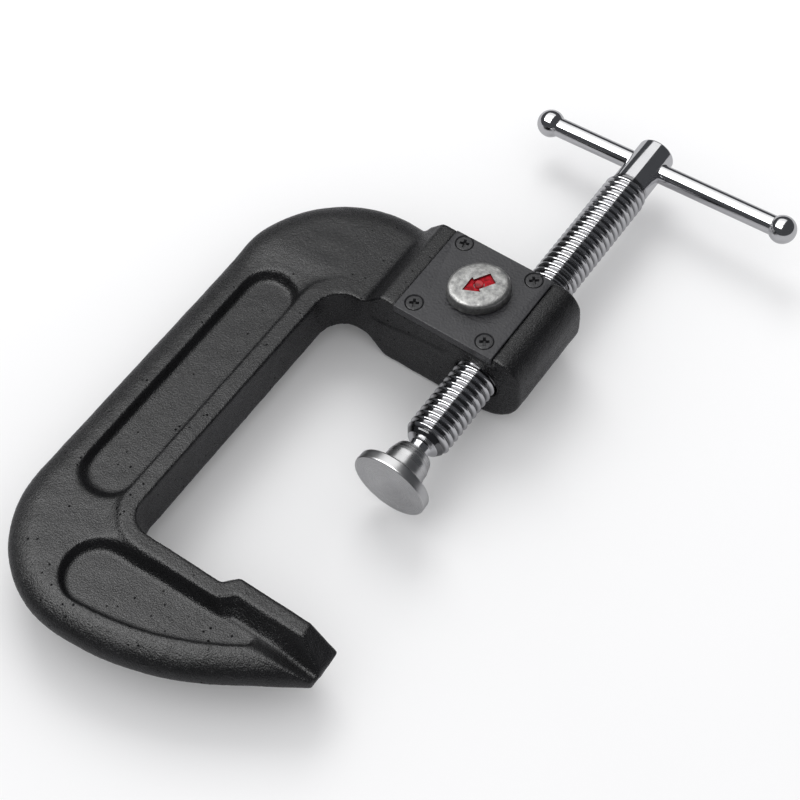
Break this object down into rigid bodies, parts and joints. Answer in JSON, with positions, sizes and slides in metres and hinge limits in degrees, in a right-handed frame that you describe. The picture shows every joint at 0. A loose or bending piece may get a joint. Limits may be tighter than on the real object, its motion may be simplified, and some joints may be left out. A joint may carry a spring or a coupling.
{
  "type": "quick-release c clamp",
  "caption": "Cast C clamp with a threaded screw, swivel pad, sliding cross handle and a turn knob on the cover plate that frees the half nut for quick setting.",
  "frame": {"origin": "point on the screw axis in the plane of the fixed jaw face", "axes": "+Y along the screw from the fixed jaw toward the handle, +X from the spine toward the open side, +Z out of the broad face that carries the release knob"},
  "size_m": [0.1856, 0.3165, 0.0462],
  "materials": {
    "black_casting": "black paint over a grainy sand casting",
    "black_plate": "smooth satin black",
    "black_screw": "black oxide",
    "cast_zinc": "matte die-cast zinc",
    "red_paint": "glossy paint fill",
    "plain_steel": "machined and oiled",
    "bright_chrome": "bright plating",
    "pad_plating": "satin bright plating with turning marks"
  },
  "bodies": {
    "clamp_frame": {"frame": "black_casting", "cover_plate": "black_plate", "cover_screw_1": "black_screw", "cover_screw_2": "black_screw", "cover_screw_3": "black_screw", "cover_screw_4": "black_screw"},
    "release_cam": {"release_knob": "cast_zinc", "knob_arrow": "red_paint", "cam_shaft": "plain_steel", "wave_washer": "plain_steel"},
    "nut": {"half_nut": "plain_steel"},
    "feed_ring": {"pad_retaining_ring": "plain_steel"},
    "screw": {"spindle": "bright_chrome"},
    "pad": {"swivel_pad": "pad_plating"},
    "handle": {"handle_bar": "bright_chrome", "handle_ball_1": "bright_chrome", "handle_ball_2": "bright_chrome"}
  },
  "joints": [
    {"name": "knob_turn", "type": "hinge", "parent": "clamp_frame", "child": "release_cam", "pos_m": [-0.0143, 0.1491, 0.0205], "axis": [0, 0, 1], "range_deg": [0, 90]},
    {"name": "half_nut_slide", "type": "slide", "parent": "clamp_frame", "child": "nut", "axis": [-1, 0, 0], "range_m": [0, 0.0025]},
    {"name": "screw_feed", "type": "slide", "parent": "clamp_frame", "child": "feed_ring", "axis": [0, 1, 0], "range_m": [-0.0636, 0.0382]},
    {"name": "screw_turn", "type": "hinge", "parent": "feed_ring", "child": "screw", "pos_m": [0, 0.0755, 0], "axis": [0, 1, 0], "range_deg": [-7200, 4320]},
    {"name": "pad_tilt", "type": "hinge", "parent": "feed_ring", "child": "pad", "pos_m": [0, 0.0755, 0], "axis": [1, 0, 0], "range_deg": [-6, 6]},
    {"name": "handle_slide", "type": "slide", "parent": "screw", "child": "handle", "axis": [0.9987, 0, 0.0506], "range_m": [-0.0503, 0.0333]}
  ],
  "couplings": [
    {"joint": "knob_turn", "follows": "half_nut_slide", "rad_per_m": 628.32},
    {"joint": "screw_feed", "follows": "screw_turn", "m_per_rad": 0.00050532}
  ]
}
